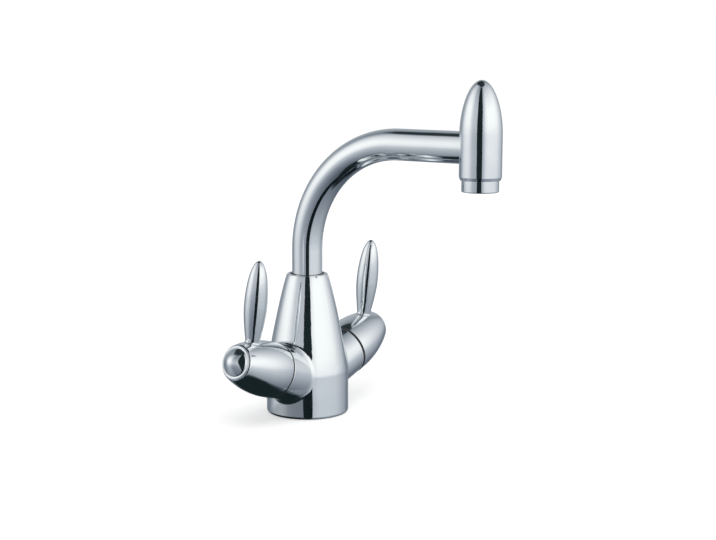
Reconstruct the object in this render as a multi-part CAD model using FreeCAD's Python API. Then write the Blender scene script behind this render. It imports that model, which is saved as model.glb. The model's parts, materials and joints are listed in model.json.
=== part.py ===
"""Two handle kitchen mixer tap.

The frame's origin is the centre of the round base, on the deck. +Z is up, the
spout reaches out along -Y, the hot handle is on -X and the cold handle on +X.
All sizes are millimetres.

Each side of the tap is built along its own hub axis, which leaves the column
low down and rises outwards. Along that axis a place is called a station and is
measured from the column's own axis.
"""
import FreeCAD, Part
import math
import os

V = FreeCAD.Vector
ORIGIN = V(0, 0, 0)
UP = V(0, 0, 1)
SIDES = (("hot", -1), ("cold", 1))

# ---------------------------------------------------------------- clearances
running_clearance = 0.05    # radial, shaft in bore
glide_clearance = 0.08      # radial, handle skirt on its glide ring
seal_clearance = 0.03       # radial, O-ring against the bore that it seals
seat_clearance = 0.02       # radial, piece pressed, brazed or screwed home
thread_clearance = 0.05     # radial, between plain stand-ins for the threads
disc_film = 0.02            # between the two lapped ceramic discs
end_play = 0.10             # axial, between a shoulder and its stop

# ------------------------------------------------------------ base and column
base_radius = 30.0
base_height = 30.6          # straight, round foot of the body
base_edge = 2.0
column_height = 102.6
column_rim = 1.85           # metal around the bush at the top of the column
column_foot_pull = 7.2      # how far the foot's upright line carries on upwards
column_top_rise = 4.3       # the rounded shoulder: how far below the top it starts
column_top_draw = 3.05      # and how much wider the column is there
column_rim_edge = 0.7

# ------------------------------------------------------------- underside ports
recess_rim = 3.0            # from the deck seal in to the hollow under the foot
recess_depth = 5.0
port_offset = 10.0          # hose ports, left and right of the middle
port_radius = 4.46          # core of an M10x1 thread
port_depth = 12.0
port_boss_radius = 7.0
supply_radius = 3.5         # drilled way up from a hose port
stud_offset = 11.5          # fixing stud, behind the ports
stud_radius = 3.32          # core of an M8 thread
stud_depth = 14.0
stud_boss_radius = 6.5
web_width = 8.0             # web that joins the three bosses
deck_seal_inset = 3.5
deck_seal_width = 4.0
deck_seal_height = 2.4

# ---------------------------------------------------------------- side hubs
hub_height = 24.3           # where both hub axes meet, above the deck
hub_forward = 1.2           # and how far in front of the column's axis
hub_tilt = 17.7             # degrees, rising outwards
hub_radius = 19.6
stub_face = 44.8            # station of the fixed stub's end
stub_blend = 4.0            # fillet between stub and column
joint_edge = 0.7            # fillet on each side of the turning joint
joint_gap = 0.8

# -------------------------------------------------------- cartridge and pocket
glide_seat_depth = 2.5      # glide ring's seat, in from the stub face
flange_seat_depth = 4.5     # cartridge flange's seat, in from the stub face
pocket_depth = 24.5         # from the flange's seat to the water seat
thread_radius = 10.3        # half-inch pipe thread of the cartridge
thread_length = 11.0
chamber_step = 0.1          # chamber, less than the thread
undercut_step = 0.2         # undercut beside the flange, less than the thread
undercut_length = 1.5
flange_ring_section = 0.72  # section radius of the O-ring under the flange
flange_overhang = 0.7       # hexagon's flats, out from the thread
flange_thickness = 3.5
flange_room = 1.5           # around the hexagon's corners
neck_wall = 1.95
neck_length = 6.0
nose_step = 1.4             # nose, less than the thread
nose_wall = 1.2
nose_gap = 1.0              # metal stays this far off the water seat
disc_bore_depth = 12.6
window_width = 9.0
window_height = 4.8
window_setback = 5.6        # from the end of the nose
seat_seal_width = 3.1
seat_seal_gap = 0.2
seat_seal_height = 2.6
inlet_radius = 4.0
outlet_radius = 3.5
outlet_station = 5.0        # outlet way, out from the water seat
outlet_lift = 7.0           # and above the hub axis
outlet_meeting = 52.0       # height at which both outlet ways meet

# ------------------------------------------------------- discs and spindle
disc_thickness = 3.0
fixed_disc_gap = 0.1        # radial, in the housing's bore
moving_disc_gap = 0.3
disc_key_inset = 0.3        # key's end, in from the nose's outside
disc_key_width = 3.0
port_inner = 2.6            # sector ports through both discs
port_rim = 1.2              # ceramic left outside the ports
port_half_angle = 36.0      # degrees
tongue_width = 4.6
tongue_inset = 0.8          # tongue's ends, in from the shoulder's edge
tongue_clearance = 0.05
slot_depth = 1.6
shoulder_gap = 0.4          # radial, in the housing's bore
spindle_shoulder = 2.3
stem_radius = 4.5
stem_ring_section = 0.8
stem_ring_places = (2.9, 7.4)   # groove starts, out from the spindle's shoulder
stem_groove_width = 1.8
clip_thickness = 1.0
clip_groove_depth = 1.0
clip_width = 3.1
clip_mouth = 60.0           # degrees
spline_teeth = 20
spline_step = 0.5           # teeth, less than the stem
spline_tooth = 0.35
spline_length = 11.6
spline_clearance = 0.06
spline_lead = 0.35          # plain end of the stem before the spline
screw_hole_radius = 2.0     # core and shank of the M4 handle screw
screw_bite = 9.2            # depth of its hole in the spindle

# --------------------------------------------------- glide ring, handle, cap
skirt_wall = 2.9
glide_wall = 1.4
glide_showing = 5.0         # how far it stands out of the stub
shell_length = 42.6
shell_end_radius = 12.2
shell_swell = 1.3           # first pole of the outline, out from the hub radius
shell_full_pull = 12.0      # how far the shell stays full from the joint
shell_end_pull = 14.0
shell_end_swell = 6.2       # fullness above the end radius
shell_end_edge = 2.8
skirt_depth = 5.9
spline_showing = 5.4        # length of the spline that stands free below the web
spline_end_gap = 0.25
screw_floor = 2.6           # metal between the spline and the screw's head
shell_lip = 1.9             # from the outside in to the cap's recess
cap_recess_depth = 1.1
cap_ledge = 0.9
cap_gap = 0.28              # dark line around the cap
cap_rim_height = 0.9
cap_dome = 6.2
cap_rim_draw = 1.7          # dome's first pole, in from the rim
cap_rim_rise = 3.8          # and up from it
cap_dome_pull = 4.3
cap_skirt_wall = 1.4
cap_skirt = 6.6
cap_wall = 1.6
screw_head_radius = 3.7
screw_head_height = 2.8
screw_socket_flats = 3.0
screw_socket_depth = 1.6
lever_place = 25.6          # from the shell's start to the lever's axis
lever_lean = 6.8            # degrees, towards the spout
lever_root = 12.0           # distance from the hub axis
lever_root_radius = 4.3
lever_widest = 43.5
lever_radius = 8.1
lever_length = 75.1
lever_neck_pull = 8.0
lever_neck_flare = 0.9
lever_hip_pull = 10.8
lever_shoulder_pull = 18.0
lever_tip_pull = 4.6
lever_blend = 1.8

# ------------------------------------------------------------------- spout
tube_radius = 11.0
tube_wall = 1.4
upright_height = 120.4      # height at which the tube starts to bend
bend_radius = 79.0
spout_length = 144.0        # column axis to outlet axis
tube_drop = 10.6            # depth of the tube's end in the column
bush_recess = 1.2
bush_length = 7.4
bush_wall = 1.65
tube_room = 0.4             # radial, around the tube's end
slip_washer_height = 1.0
slip_washer_gap = 0.2       # radial, inside and outside it
nipple_flange = 4.0
nipple_step = 1.6           # nipple's stem, less than the tube
nipple_wall = 3.0
nipple_stem = 22.0
nipple_spigot = 12.0
nipple_ring_section = 0.8
nipple_ring_places = (3.0, 8.5)  # groove starts, up from the nipple's foot
nipple_groove_width = 2.2
socket_foot_gap = 2.0
riser_radius = 7.0
riser_foot = 44.0
retainer_drop = 3.5         # retaining screw's axis, below the nipple's flange
retainer_groove_width = 4.2
retainer_groove_depth = 1.7
retainer_radius = 2.5
retainer_point_radius = 1.5
retainer_point = 2.4
retainer_tip_gap = 0.3
retainer_length = 9.5
retainer_flats = 2.5
retainer_socket_depth = 2.5

# --------------------------------------------------------- outlet head, aerator
head_radius = 14.4
head_tip = 45.1             # above the tube's centre line
head_widest = 9.1           # above the tube's centre line
head_foot = 21.1            # below the tube's centre line
head_shoulder_pull = 18.0
head_tip_pull = 8.0
head_foot_step = 0.9        # head's foot, less than the head
head_foot_taper = 2.2
head_foot_wall = 1.6        # around the outlet thread
head_bore_step = 1.7        # head's bore, less than the outlet thread
head_bore_top = 15.0        # above the tube's centre line
head_bore_dome = 7.0
collar_step = 0.9           # collar, less than the head's foot
collar_height = 7.5
collar_gap = 0.4
collar_edge = 0.8
collar_lip = 1.2
collar_wall = 1.5           # between the outlet thread and the insert
collar_ledge = 0.8          # under the insert
outlet_thread_length = 7.3
insert_wall = 1.1
insert_height = 13.2
cell_height = 3.0
cell_spacing = 3.6
cell_web = 0.6
cell_rings = 2
screen_thickness = 0.6
screen_slots = 5
screen_spacing = 3.0
screen_slot = 2.0
outlet_washer_width = 2.9
outlet_washer_height = 1.3

# ------------------------------------------------------------- radii derived
bush_outer = tube_radius + running_clearance + bush_wall
column_top_radius = bush_outer + column_rim
tube_room_radius = tube_radius + tube_room
nipple_radius = tube_radius - nipple_step
nipple_bore = nipple_radius - nipple_wall
socket_radius = nipple_radius + running_clearance
retainer_groove_radius = nipple_radius - retainer_groove_depth
deck_seal_outer = base_radius - deck_seal_inset
deck_seal_inner = deck_seal_outer - deck_seal_width
recess_radius = deck_seal_inner - recess_rim
chamber_radius = thread_radius - chamber_step
undercut_radius = thread_radius - undercut_step
flange_ring_radius = undercut_radius + flange_ring_section + seal_clearance
flange_groove_radius = flange_ring_radius + flange_ring_section + seal_clearance
flange_flats = 2 * (thread_radius + flange_overhang)
flange_recess_radius = flange_flats / 2 / math.cos(math.radians(30)) + flange_room
stem_bore = stem_radius + running_clearance
neck_radius = stem_bore + neck_wall
nose_radius = thread_radius - nose_step
disc_bore = nose_radius - nose_wall
fixed_disc_radius = disc_bore - fixed_disc_gap
moving_disc_radius = disc_bore - moving_disc_gap
disc_key_radius = nose_radius - disc_key_inset
port_outer = moving_disc_radius - port_rim
seat_seal_outer = disc_bore - seat_seal_gap
seat_seal_inner = seat_seal_outer - seat_seal_width
spindle_shoulder_radius = disc_bore - shoulder_gap
clip_groove_radius = stem_radius - clip_groove_depth
clip_outer = clip_groove_radius + clip_width
spline_radius = stem_radius - spline_step
glide_outer = hub_radius - skirt_wall - glide_clearance
glide_inner = glide_outer - glide_wall
cap_recess_radius = shell_end_radius - shell_lip
cap_bore = cap_recess_radius - cap_ledge
cap_rim_radius = cap_recess_radius - cap_gap
cap_skirt_inner = cap_bore - cap_skirt_wall
head_foot_radius = head_radius - head_foot_step
outlet_thread_radius = head_foot_radius - head_foot_wall
head_bore = outlet_thread_radius - head_bore_step
collar_radius = head_foot_radius - collar_step
insert_radius = outlet_thread_radius - collar_wall
collar_mouth = insert_radius - collar_ledge
outlet_washer_inner = outlet_thread_radius - outlet_washer_width

# ----------------------------------------------------------- stations derived
flange_seat = stub_face - flange_seat_depth
glide_seat = stub_face - glide_seat_depth
water_seat = flange_seat - pocket_depth
nose_end = water_seat + nose_gap
thread_end = flange_seat - undercut_length
thread_start = thread_end - thread_length
neck_start = flange_seat + flange_thickness
neck_end = neck_start + neck_length
disc_seat = water_seat + seat_seal_height
lap_plane = disc_seat + disc_thickness
moving_face = lap_plane + disc_film
moving_top = moving_face + disc_thickness
stem_stop = nose_end + disc_bore_depth
shoulder_top = stem_stop - end_play
shoulder_foot = shoulder_top - spindle_shoulder
clip_start = neck_end + end_play
clip_end = clip_start + clip_thickness
spline_start = clip_end + spline_lead
spline_end = spline_start + spline_length
shell_start = stub_face + joint_gap
shell_end = shell_start + shell_length
cavity_end = spline_start + spline_showing
socket_end = spline_end + spline_end_gap
screw_seat = socket_end + screw_floor
lever_station = shell_start + lever_place
cap_seat = shell_end - cap_recess_depth

# ------------------------------------------------------------ heights derived
bush_top = column_height - bush_recess
bush_foot = bush_top - bush_length
tube_end = column_height - tube_drop
flange_foot = tube_end - nipple_flange
washer_foot = flange_foot - running_clearance - slip_washer_height
nipple_foot = flange_foot - nipple_stem
socket_foot = nipple_foot - socket_foot_gap
retainer_height = flange_foot - retainer_drop - nipple_groove_width / 2
spout_height = upright_height + bend_radius
head_foot_height = spout_height - head_foot
outlet_seat = head_foot_height + outlet_thread_length + outlet_washer_height
collar_top = head_foot_height - collar_gap
collar_foot = collar_top - collar_height
collar_end = outlet_seat - outlet_washer_height
insert_foot = collar_foot + collar_lip


# ------------------------------------------------------------------- helpers
def half_plane(place):
    """A place (radius, height) as a point of the plane that is turned."""
    return V(place[0], 0, place[1])


def turned(start, *steps):
    """Solid turned about Z from a closed outline of (radius, height) places.

    A tuple is a straight run to that place and a list holds the remaining
    poles of a Bezier curve. The outline closes itself.
    """
    edges = []
    here = start
    for step in steps + (start,):
        poles = step if isinstance(step, list) else [step]
        points = [half_plane(place) for place in [here] + poles]
        if len(points) == 2:
            edges.append(Part.makeLine(*points))
        else:
            curve = Part.BezierCurve()
            curve.setPoles(points)
            edges.append(curve.toShape())
        here = poles[-1]
    return Part.Face(Part.Wire(edges)).revolve(ORIGIN, UP, 360)


def rod(radius, low, high):
    """Plain cylinder about Z."""
    return Part.makeCylinder(radius, high - low, V(0, 0, low))


def ring(inner, outer, low, high):
    """Flat ring about Z."""
    return turned((inner, low), (outer, low), (outer, high), (inner, high))


def o_ring(radius, section, height):
    """O-ring about Z, its section an octagon as wide and as high as the round one."""
    corner = section / math.cos(math.radians(22.5))
    places = []
    for number in range(8):
        across, along = polar(corner, 22.5 + 45 * number)
        places.append((radius + across, height + along))
    return turned(*places)


def block(width, depth, low, high):
    """Box centred on Z, width along X and depth along Y."""
    return Part.makeBox(width, depth, high - low, V(-width / 2, -depth / 2, low))


def prism(points, low, high):
    """Straight prism about Z from a closed list of (x, y) corners."""
    corners = [V(x, y, low) for x, y in points]
    outline = Part.makePolygon(corners + corners[:1])
    return Part.Face(outline).extrude(V(0, 0, high - low))


def polar(radius, degrees):
    angle = math.radians(degrees)
    return radius * math.cos(angle), radius * math.sin(angle)


def hexagon(flats, low, high):
    corner = flats / 2 / math.cos(math.radians(30))
    return prism([polar(corner, 60 * side) for side in range(6)], low, high)


def sector(inner, outer, half_angle, low, high, centre=0):
    """Ring segment about Z, centred on the direction of centre degrees."""
    face = ring(inner, outer, low, high)
    reach = 2 * outer
    wedge = [(0, 0)]
    wedge += [polar(reach, centre + half_angle * share) for share in (-1, 0, 1)]
    return face.common(prism(wedge, low, high))


def circles(shape, radius, height):
    """Round edges of that radius about Z at that height."""
    found = []
    for edge in shape.Edges:
        curve = edge.Curve
        if isinstance(curve, Part.Circle) and abs(curve.Radius - radius) < 1e-4:
            if abs(curve.Center.z - height) < 1e-4:
                found.append(edge)
    return found


def seam_between(shape, first, second):
    """Edges of shape that lie on the surfaces of both solids."""
    first_skin = Part.Compound(first.Faces)
    second_skin = Part.Compound(second.Faces)
    found = []
    for edge in shape.Edges:
        middle = edge.valueAt((edge.FirstParameter + edge.LastParameter) / 2)
        point = Part.Vertex(middle)
        if point.distToShape(first_skin)[0] < 1e-3 and point.distToShape(second_skin)[0] < 1e-3:
            found.append(edge)
    return found


# ---------------------------------------------------------------- hub frames
def hub_axis(side):
    tilt = math.radians(hub_tilt)
    return V(side * math.cos(tilt), 0, math.sin(tilt))


def hub_up(side):
    """Square to the hub axis, upwards: local X of everything on that hub."""
    tilt = math.radians(hub_tilt)
    return V(-side * math.sin(tilt), 0, math.cos(tilt))


def on_hub(shape, side):
    """Put a shape that was made about Z on the hub of that side."""
    axis = hub_axis(side)
    upward = hub_up(side)
    across = axis.cross(upward)
    frame = FreeCAD.Matrix(
        upward.x, across.x, axis.x, 0,
        upward.y, across.y, axis.y, -hub_forward,
        upward.z, across.z, axis.z, hub_height,
        0, 0, 0, 1)
    moved = shape.copy()
    moved.Placement = FreeCAD.Placement(frame).multiply(shape.Placement)
    return moved


def hub_point(side, station, lift):
    meeting = V(0, -hub_forward, hub_height)
    return meeting + hub_axis(side) * station + hub_up(side) * lift


def drilling(radius, start, end):
    """Round way from one point to another."""
    run = end - start
    return Part.makeCylinder(radius, run.Length, start, run)


# -------------------------------------------------------------- body casting
def column_blank():
    column = turned(
        (0, 0), (base_radius, 0), (base_radius, base_height),
        [(base_radius, base_height + column_foot_pull),
         (column_top_radius + column_top_draw, column_height - column_top_rise),
         (column_top_radius, column_height)],
        (0, column_height))
    column = column.makeFillet(base_edge, circles(column, base_radius, 0))
    rim = circles(column, column_top_radius, column_height)
    return column.makeFillet(column_rim_edge, rim)


def stub_blank(side):
    stub = rod(hub_radius, 0, stub_face)
    stub = stub.makeFillet(joint_edge, circles(stub, hub_radius, stub_face))
    return on_hub(stub, side)


def outer_casting():
    """Column and both stubs, with the stubs run into the column by a fillet."""
    casting = column_blank()
    for name, side in SIDES:
        column = casting
        stub = stub_blank(side)
        casting = column.fuse(stub)
        casting = casting.makeFillet(stub_blend, seam_between(casting, column, stub))
    return casting


def cartridge_pocket():
    """Stepped pocket along the hub, from the water seat to the stub face."""
    steps = (
        (chamber_radius, water_seat, thread_start),
        (thread_radius + thread_clearance, thread_start, thread_end),
        (flange_groove_radius, thread_end, flange_seat),
        (flange_recess_radius, flange_seat, glide_seat),
        (glide_outer + seat_clearance, glide_seat, stub_face + joint_gap),
    )
    pocket = rod(*steps[0])
    for step in steps[1:]:
        pocket = pocket.fuse(rod(*step))
    return pocket


def water_ways(side):
    """Port, supply way, inlet to the water seat and outlet to the riser."""
    port = Part.makeCylinder(port_radius, port_depth, V(side * port_offset, 0, 0))
    meeting = port_offset / math.cos(math.radians(hub_tilt))
    top = hub_point(side, meeting, 0)
    supply = Part.makeCylinder(supply_radius, top.z, V(side * port_offset, 0, 0))
    inlet = drilling(inlet_radius, hub_point(side, meeting - supply_radius, 0),
                     hub_point(side, water_seat, 0))
    outlet = drilling(outlet_radius, hub_point(side, water_seat + outlet_station, outlet_lift),
                      V(0, 0, outlet_meeting))
    return port.fuse([supply, inlet, outlet])


def spout_socket():
    """Everything that is bored down from the top of the column."""
    steps = (
        (riser_radius, riser_foot, socket_foot),
        (socket_radius, socket_foot, washer_foot),
        (tube_room_radius, washer_foot, bush_foot),
        (bush_outer + seat_clearance, bush_foot, column_height),
    )
    socket = rod(*steps[0])
    for step in steps[1:]:
        socket = socket.fuse(rod(*step))
    return socket


def retainer_hole():
    """Tapped hole from the back of the column into the socket."""
    hole = Part.makeCylinder(retainer_radius + thread_clearance, base_radius,
                             V(0, 0, retainer_height), V(0, 1, 0))
    return hole


def underside():
    """Hollow under the foot, around the bosses, with the deck seal's groove."""
    hollow = rod(recess_radius, 0, recess_depth)
    stud_boss = Part.makeCylinder(stud_boss_radius, recess_depth, V(0, stud_offset, 0))
    port_web = block(2 * port_offset, web_width, 0, recess_depth)
    stud_web = Part.makeBox(web_width, stud_offset, recess_depth, V(-web_width / 2, 0, 0))
    hollow = hollow.cut([stud_boss, port_web, stud_web])
    for name, side in SIDES:
        boss = Part.makeCylinder(port_boss_radius, recess_depth, V(side * port_offset, 0, 0))
        hollow = hollow.cut(boss)
    stud_hole = Part.makeCylinder(stud_radius, stud_depth, V(0, stud_offset, 0))
    groove = ring(deck_seal_inner, deck_seal_outer, 0, deck_seal_height)
    return [hollow, stud_hole, groove]


def body_casting():
    cuts = [spout_socket(), retainer_hole()] + underside()
    for name, side in SIDES:
        cuts.append(on_hub(cartridge_pocket(), side))
        cuts.append(water_ways(side))
    return outer_casting().cut(cuts)


def base_seal():
    return ring(deck_seal_inner + seat_clearance, deck_seal_outer - seat_clearance,
                0, deck_seal_height)


# ------------------------------------------------------------ valve cartridge
def cartridge_body():
    """Threaded brass housing with a hexagon, side windows and key slots."""
    housing = turned(
        (stem_bore, stem_stop), (disc_bore, stem_stop),
        (disc_bore, nose_end), (nose_radius, nose_end), (nose_radius, thread_start),
        (thread_radius, thread_start), (thread_radius, thread_end),
        (undercut_radius, thread_end), (undercut_radius, flange_seat),
        (neck_radius, flange_seat), (neck_radius, neck_end),
        (stem_bore, neck_end))
    flange = hexagon(flange_flats, flange_seat, neck_start)
    housing = housing.fuse(flange.cut(rod(neck_radius - joint_edge, flange_seat, neck_start)))
    window_foot = nose_end + window_setback
    window = block(window_width, 2 * thread_radius, window_foot, window_foot + window_height)
    key_slot = block(2 * thread_radius, disc_key_width + 2 * tongue_clearance, nose_end, lap_plane)
    return housing.cut([window, key_slot])


def disc_ports(low, high, turn):
    return [sector(port_inner, port_outer, port_half_angle, low, high, turn + half)
            for half in (0, 180)]


def fixed_disc():
    """Keyed ceramic disc with its two ports in line with the windows."""
    disc = rod(fixed_disc_radius, disc_seat, lap_plane)
    key = block(2 * disc_key_radius, disc_key_width, disc_seat, lap_plane)
    key = key.common(rod(disc_key_radius, disc_seat, lap_plane))
    return disc.fuse(key).cut(disc_ports(disc_seat, lap_plane, 90))


def moving_disc():
    """Ceramic disc that the spindle turns, shown a quarter turn from open."""
    disc = rod(moving_disc_radius, moving_face, moving_top)
    slot = block(tongue_width + 2 * tongue_clearance, 2 * moving_disc_radius,
                 moving_top - slot_depth, moving_top)
    return disc.cut(disc_ports(moving_face, moving_top, 0) + [slot])


def seat_seal():
    return ring(seat_seal_inner, seat_seal_outer, water_seat, disc_seat)


def flange_o_ring():
    return o_ring(flange_ring_radius, flange_ring_section, (thread_end + flange_seat) / 2)


def stem_groove_starts():
    return [shoulder_top + place for place in stem_ring_places]


def stem_ring_radius():
    return stem_bore - seal_clearance - stem_ring_section


def spline(radius, tooth, low, high):
    """Straight-sided spline: one trapezoid tooth for every equal share."""
    share = 360 / spline_teeth
    corners = []
    for tooth_number in range(spline_teeth):
        middle = tooth_number * share
        corners.append(polar(radius - tooth, middle - 0.40 * share))
        corners.append(polar(radius, middle - 0.16 * share))
        corners.append(polar(radius, middle + 0.16 * share))
        corners.append(polar(radius - tooth, middle + 0.40 * share))
    return prism(corners, low, high)


def spindle():
    """Brass spindle: tongue, shoulder, grooved stem and toothed end."""
    tongue_foot = moving_top - slot_depth + tongue_clearance
    tongue = block(tongue_width, 2 * spindle_shoulder_radius, tongue_foot, shoulder_foot)
    tongue_end = spindle_shoulder_radius - tongue_inset
    tongue = tongue.common(rod(tongue_end, tongue_foot, shoulder_foot))
    shoulder = rod(spindle_shoulder_radius, shoulder_foot, shoulder_top)
    stem = rod(stem_radius, shoulder_top, spline_start)
    toothed = spline(spline_radius, spline_tooth, spline_start, spline_end)
    solid = shoulder.fuse([tongue, stem, toothed])
    groove_floor = stem_ring_radius() - stem_ring_section
    grooves = [ring(groove_floor, 2 * stem_radius, start, start + stem_groove_width)
               for start in stem_groove_starts()]
    grooves.append(ring(clip_groove_radius, 2 * stem_radius, clip_start, clip_end))
    tapped = rod(screw_hole_radius + thread_clearance, spline_end - screw_bite, spline_end)
    return solid.cut(grooves + [tapped])


def spindle_o_rings():
    rings = [o_ring(stem_ring_radius(), stem_ring_section, start + stem_groove_width / 2)
             for start in stem_groove_starts()]
    return Part.Compound(rings)


def spindle_clip():
    """Open snap ring that keeps the spindle from being pushed in."""
    plate = ring(clip_groove_radius + seat_clearance, clip_outer,
                 clip_start + seat_clearance, clip_end - seat_clearance)
    mouth = sector(clip_groove_radius / 2, 2 * clip_outer, clip_mouth / 2, clip_start, clip_end)
    return plate.cut(mouth)


# ------------------------------------------------------------------- handle
def glide_ring():
    """Plastic ring that the handle's skirt turns on."""
    return ring(glide_inner, glide_outer, glide_seat, stub_face + glide_showing)


def shell_blank():
    shell = turned(
        (0, shell_start), (hub_radius, shell_start),
        [(hub_radius + shell_swell, shell_start + shell_full_pull),
         (shell_end_radius + shell_end_swell, shell_end - shell_end_pull),
         (shell_end_radius, shell_end)],
        (0, shell_end))
    shell = shell.makeFillet(joint_edge, circles(shell, hub_radius, shell_start))
    return shell.makeFillet(shell_end_edge, circles(shell, shell_end_radius, shell_end))


def lever_blank(side):
    """Cigar-shaped lever, upright on the tilted hub and leaning to the spout."""
    lever = turned(
        (0, lever_root), (lever_root_radius, lever_root),
        [(lever_root_radius + lever_neck_flare, lever_root + lever_neck_pull),
         (lever_radius, lever_widest - lever_hip_pull),
         (lever_radius, lever_widest)],
        [(lever_radius, lever_widest + lever_shoulder_pull),
         (lever_tip_pull, lever_length),
         (0, lever_length)])
    tilt = math.radians(hub_tilt)
    lean = math.radians(lever_lean)
    heading = V(math.cos(tilt) * math.cos(lean), side * math.sin(lean),
                math.sin(tilt) * math.cos(lean))
    turn = FreeCAD.Rotation(UP, heading)
    lever.Placement = FreeCAD.Placement(V(0, 0, lever_station), turn)
    return lever


def handle(side):
    """Shell and lever in one casting, hollow over the cartridge."""
    shell = shell_blank()
    lever = lever_blank(side)
    casting = shell.fuse(lever)
    casting = casting.makeFillet(lever_blend, seam_between(casting, shell, lever))
    skirt = rod(glide_outer + glide_clearance, shell_start, shell_start + skirt_depth)
    hollow = rod(glide_inner, shell_start, cavity_end)
    socket = spline(spline_radius + spline_clearance, spline_tooth, cavity_end, socket_end)
    screw_hole = rod(screw_hole_radius + 2 * end_play, socket_end, screw_seat)
    bore = rod(cap_bore, screw_seat, shell_end)
    recess = rod(cap_recess_radius, cap_seat, shell_end)
    return casting.cut([skirt, hollow, socket, screw_hole, bore, recess])


def handle_screw():
    head = rod(screw_head_radius, screw_seat, screw_seat + screw_head_height)
    head = head.makeFillet(screw_head_height / 3,
                           circles(head, screw_head_radius, screw_seat + screw_head_height))
    tip = spline_end - screw_bite + end_play
    shank = rod(screw_hole_radius, tip, screw_seat)
    top = screw_seat + screw_head_height
    socket = hexagon(screw_socket_flats, top - screw_socket_depth, top)
    return head.fuse(shank).cut(socket)


def end_cap():
    """Domed cap that is pressed into the handle's end over the screw."""
    skirt_radius = cap_bore - seat_clearance
    rim_top = cap_seat + cap_rim_height
    crown = rim_top + cap_dome
    ceiling = crown - cap_wall
    return turned(
        (cap_skirt_inner, cap_seat - cap_skirt), (skirt_radius, cap_seat - cap_skirt),
        (skirt_radius, cap_seat), (cap_rim_radius, cap_seat), (cap_rim_radius, rim_top),
        [(cap_rim_radius - cap_rim_draw, rim_top + cap_rim_rise),
         (cap_dome_pull, crown), (0, crown)],
        (0, ceiling),
        [(cap_dome_pull, ceiling), (cap_skirt_inner, cap_seat + cap_rim_rise),
         (cap_skirt_inner, cap_seat)])


# -------------------------------------------------------------------- spout
def tube_path(start_height, end_reach):
    """Upright run, quarter bend and level run of the spout's centre line."""
    bend_middle = bend_radius * math.sin(math.radians(45))
    upright = Part.makeLine(V(0, 0, start_height), V(0, 0, upright_height))
    bend = Part.Arc(V(0, 0, upright_height),
                    V(0, bend_middle - bend_radius, upright_height + bend_middle),
                    V(0, -bend_radius, spout_height)).toShape()
    level = Part.makeLine(V(0, -bend_radius, spout_height), V(0, -end_reach, spout_height))
    return Part.Wire([upright, bend, level])


def swept_round(radius, start_height, end_reach):
    circle = Part.Wire(Part.makeCircle(radius, V(0, 0, start_height), UP))
    return tube_path(start_height, end_reach).makePipeShell([circle], True, False)


def at_outlet(shape):
    shape.translate(V(0, -spout_length, 0))
    return shape


def spout_tube():
    """Bent 22 mm tube; its far end is cut to the outlet head's own bore."""
    outside = swept_round(tube_radius, tube_end, spout_length)
    inside = swept_round(tube_radius - tube_wall, tube_end, spout_length)
    head_way = at_outlet(rod(head_bore + seat_clearance, spout_height - 2 * tube_radius,
                             spout_height + 2 * tube_radius))
    return outside.cut([inside, head_way])


def nipple_groove_starts():
    return [nipple_foot + place for place in nipple_ring_places]


def nipple_ring_radius():
    return socket_radius - seal_clearance - nipple_ring_section


def spout_nipple():
    """Brass end of the spout, brazed into the tube and sealed in the column."""
    spigot = tube_radius - tube_wall - seat_clearance
    nipple = turned(
        (nipple_bore, nipple_foot), (nipple_radius, nipple_foot),
        (nipple_radius, flange_foot), (tube_radius, flange_foot),
        (tube_radius, tube_end), (spigot, tube_end),
        (spigot, tube_end + nipple_spigot), (nipple_bore, tube_end + nipple_spigot))
    floor = nipple_ring_radius() - nipple_ring_section
    grooves = [ring(floor, tube_radius, start, start + nipple_groove_width)
               for start in nipple_groove_starts()]
    grooves.append(ring(retainer_groove_radius, tube_radius,
                        retainer_height - retainer_groove_width / 2,
                        retainer_height + retainer_groove_width / 2))
    return nipple.cut(grooves)


def spout_o_rings():
    rings = [o_ring(nipple_ring_radius(), nipple_ring_section, start + nipple_groove_width / 2)
             for start in nipple_groove_starts()]
    return Part.Compound(rings)


def spout_bush():
    return ring(tube_radius + running_clearance, bush_outer, bush_foot, bush_top)


def slip_washer():
    return ring(nipple_radius + slip_washer_gap, tube_room_radius - slip_washer_gap,
                washer_foot, washer_foot + slip_washer_height)


def retaining_screw():
    """Dog-point screw whose tip runs in the nipple's groove."""
    tip = retainer_groove_radius + retainer_tip_gap
    shoulder = tip + retainer_point
    end = shoulder + retainer_length
    screw = rod(retainer_point_radius, tip, shoulder).fuse(rod(retainer_radius, shoulder, end))
    screw = screw.cut(hexagon(retainer_flats, end - retainer_socket_depth, end))
    screw.rotate(ORIGIN, V(1, 0, 0), -90)
    screw.translate(V(0, 0, retainer_height))
    return screw


# ----------------------------------------------------- outlet head and aerator
def spout_head():
    """Bullet-shaped head, closed at the top and threaded at the foot."""
    widest = spout_height + head_widest
    tip = spout_height + head_tip
    outside = turned(
        (0, head_foot_height), (head_foot_radius, head_foot_height),
        (head_radius, head_foot_height + head_foot_taper), (head_radius, widest),
        [(head_radius, widest + head_shoulder_pull), (head_tip_pull, tip), (0, tip)])
    bore_top = spout_height + head_bore_top
    inside = turned(
        (0, head_foot_height), (outlet_thread_radius + thread_clearance, head_foot_height),
        (outlet_thread_radius + thread_clearance, outlet_seat), (head_bore, outlet_seat),
        (head_bore, bore_top),
        [(head_bore, bore_top + head_bore_dome), (head_bore / 2, bore_top + head_bore_dome),
         (0, bore_top + head_bore_dome)])
    tube_way = Part.makeCylinder(tube_radius + seat_clearance, spout_length / 2,
                                 V(0, 0, spout_height), V(0, 1, 0))
    return at_outlet(outside.cut([inside, tube_way]))


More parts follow.
